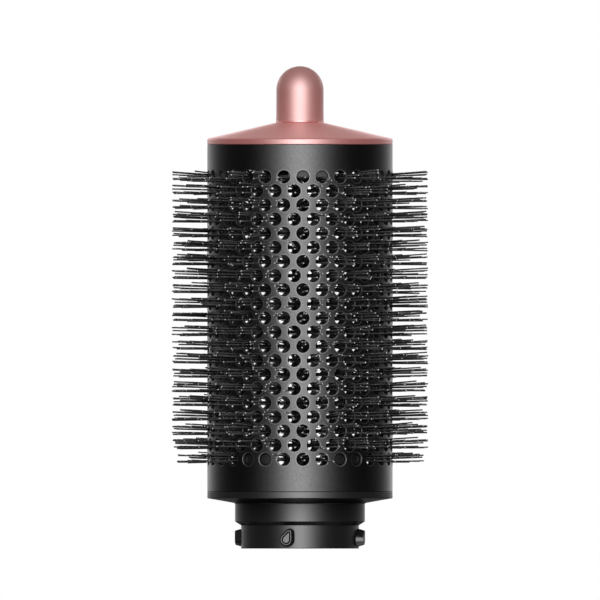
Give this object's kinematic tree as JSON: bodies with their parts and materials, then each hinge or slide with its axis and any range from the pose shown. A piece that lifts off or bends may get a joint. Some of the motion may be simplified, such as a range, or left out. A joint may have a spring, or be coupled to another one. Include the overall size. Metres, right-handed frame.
{
  "type": "hot air brush",
  "caption": "Round hot-air styling-brush head: perforated metal barrel with rows of nylon bristle tufts, bayonet connector base, domed end cap and a free-turning grip tip.",
  "frame": {"origin": "centre of the connector's lower rim, on the brush's axis", "axes": "+Z along the brush's axis from the connector towards the grip tip, -Y towards the front"},
  "size_m": [0.0668, 0.0668, 0.1254],
  "materials": {
    "base_black": "semi-gloss black heat-resistant moulding",
    "barrel_gunmetal": "dark gunmetal anodised, fine satin grain",
    "rose_cap": "satin rose metallic lacquer",
    "rose_tip": "satin rose metallic lacquer",
    "carrier_grey": "moulded, matte",
    "wheel_nylon": "glass-filled nylon, matte",
    "bristle_nylon": "glossy nylon filament",
    "acetal_black": "black acetal",
    "silicone": "matte silicone",
    "steel": "zinc plated"
  },
  "bodies": {
    "brush": {"connector_base": "base_black", "barrel": "barrel_gunmetal", "end_cap": "rose_cap", "tip_spindle": "steel", "thrust_washer": "acetal_black", "spindle_washer": "steel", "spindle_nut": "steel", "cap_carrier": "carrier_grey", "cap_gasket": "silicone", "cap_screws": "steel", "tie_bolt": "steel", "tie_bolt_washer": "steel", "tie_bolt_nut": "steel", "lower_spacer": "wheel_nylon", "base_spider": "carrier_grey", "bristle_wheel_01": "wheel_nylon", "bristle_wheel_02": "wheel_nylon", "bristle_wheel_03": "wheel_nylon", "bristle_wheel_04": "wheel_nylon", "bristle_wheel_05": "wheel_nylon", "bristle_wheel_06": "wheel_nylon", "bristle_wheel_07": "wheel_nylon", "bristle_wheel_08": "wheel_nylon", "bristle_wheel_09": "wheel_nylon", "bristle_wheel_10": "wheel_nylon", "bristle_wheel_11": "wheel_nylon", "bristle_wheel_12": "wheel_nylon", "bristle_wheel_13": "wheel_nylon", "bristle_wheel_14": "wheel_nylon", "bristle_wheel_15": "wheel_nylon", "bristle_wheel_16": "wheel_nylon", "bristle_wheel_17": "wheel_nylon", "bristle_wheel_18": "wheel_nylon", "bristle_wheel_19": "wheel_nylon", "bristle_wheel_20": "wheel_nylon", "bristle_wheel_21": "wheel_nylon", "bristle_row_01": "bristle_nylon", "bristle_row_02": "bristle_nylon", "bristle_row_03": "bristle_nylon", "bristle_row_04": "bristle_nylon", "bristle_row_05": "bristle_nylon", "bristle_row_06": "bristle_nylon", "bristle_row_07": "bristle_nylon", "bristle_row_08": "bristle_nylon", "bristle_row_09": "bristle_nylon", "bristle_row_10": "bristle_nylon", "bristle_row_11": "bristle_nylon", "bristle_row_12": "bristle_nylon", "bristle_row_13": "bristle_nylon", "bristle_row_14": "bristle_nylon", "bristle_row_15": "bristle_nylon", "bristle_row_16": "bristle_nylon", "bristle_row_17": "bristle_nylon", "bristle_row_18": "bristle_nylon", "bristle_row_19": "bristle_nylon", "bristle_row_20": "bristle_nylon", "bristle_row_21": "bristle_nylon"},
    "tip": {"cool_tip": "rose_tip", "tip_bush": "acetal_black"}
  },
  "joints": [
    {"name": "tip_spin", "type": "hinge", "parent": "brush", "child": "tip", "pos_m": [0, 0, 0.115], "axis": [0, 0, 1], "continuous": true}
  ]
}
